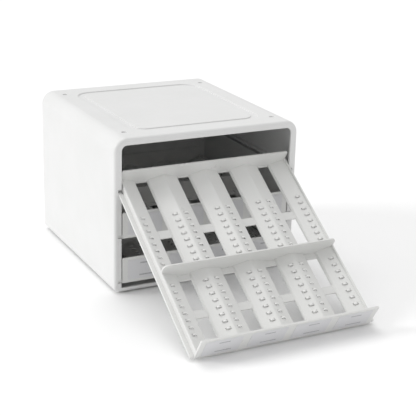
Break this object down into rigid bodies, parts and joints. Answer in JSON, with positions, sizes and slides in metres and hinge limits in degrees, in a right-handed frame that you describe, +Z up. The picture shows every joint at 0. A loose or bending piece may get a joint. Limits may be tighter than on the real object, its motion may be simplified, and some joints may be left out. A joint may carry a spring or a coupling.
{
  "type": "spice drawer organizer",
  "caption": "White tabletop cabinet with shallow pull-out drawers that drop to show jars lying in sloped grooves held by soft comb fingers.",
  "frame": {"origin": "on the table, under the middle of the cabinet: the cabinet's underside stands 2 mm above it on its feet", "axes": "X to the right seen from the front, Y from the drawers' fronts to the back, Z up"},
  "size_m": [0.273, 0.5153, 0.215],
  "materials": {
    "cabinet_white": "satin white moulded plastic",
    "back_white": "matt white moulded plastic",
    "drawer_white": "satin white moulded plastic",
    "grip_soft": "soft white thermoplastic rubber",
    "label_card": "matt write-on label card",
    "foot_rubber": "soft grey rubber"
  },
  "bodies": {
    "cabinet": {"cabinet_shell": "cabinet_white", "back_panel": "back_white", "foot_front_left": "foot_rubber", "foot_front_right": "foot_rubber", "foot_rear_left": "foot_rubber", "foot_rear_right": "foot_rubber"},
    "top_drawer": {"top_drawer_tray": "drawer_white", "top_drawer_labels": "label_card", "top_drawer_rear_grip_1": "grip_soft", "top_drawer_rear_grip_2": "grip_soft", "top_drawer_rear_grip_3": "grip_soft", "top_drawer_rear_grip_4": "grip_soft", "top_drawer_rear_grip_5": "grip_soft", "top_drawer_front_grip_1": "grip_soft", "top_drawer_front_grip_2": "grip_soft", "top_drawer_front_grip_3": "grip_soft", "top_drawer_front_grip_4": "grip_soft", "top_drawer_front_grip_5": "grip_soft"},
    "middle_drawer": {"middle_drawer_tray": "drawer_white", "middle_drawer_labels": "label_card", "middle_drawer_rear_grip_1": "grip_soft", "middle_drawer_rear_grip_2": "grip_soft", "middle_drawer_rear_grip_3": "grip_soft", "middle_drawer_rear_grip_4": "grip_soft", "middle_drawer_rear_grip_5": "grip_soft", "middle_drawer_front_grip_1": "grip_soft", "middle_drawer_front_grip_2": "grip_soft", "middle_drawer_front_grip_3": "grip_soft", "middle_drawer_front_grip_4": "grip_soft", "middle_drawer_front_grip_5": "grip_soft"},
    "bottom_drawer": {"bottom_drawer_tray": "drawer_white", "bottom_drawer_labels": "label_card", "bottom_drawer_rear_grip_1": "grip_soft", "bottom_drawer_rear_grip_2": "grip_soft", "bottom_drawer_rear_grip_3": "grip_soft", "bottom_drawer_rear_grip_4": "grip_soft", "bottom_drawer_rear_grip_5": "grip_soft", "bottom_drawer_front_grip_1": "grip_soft", "bottom_drawer_front_grip_2": "grip_soft", "bottom_drawer_front_grip_3": "grip_soft", "bottom_drawer_front_grip_4": "grip_soft", "bottom_drawer_front_grip_5": "grip_soft"}
  },
  "joints": [
    {"name": "top_drawer_tilt", "type": "hinge", "parent": "cabinet", "child": "top_drawer", "pos_m": [0, -0.13435, 0.1445], "axis": [-1, 0, 0], "range_deg": [0, 32]},
    {"name": "middle_drawer_slide", "type": "slide", "parent": "cabinet", "child": "middle_drawer", "axis": [0, -1, 0], "range_m": [0, 0.034]},
    {"name": "bottom_drawer_slide", "type": "slide", "parent": "cabinet", "child": "bottom_drawer", "axis": [0, -1, 0], "range_m": [0, 0.134]}
  ]
}
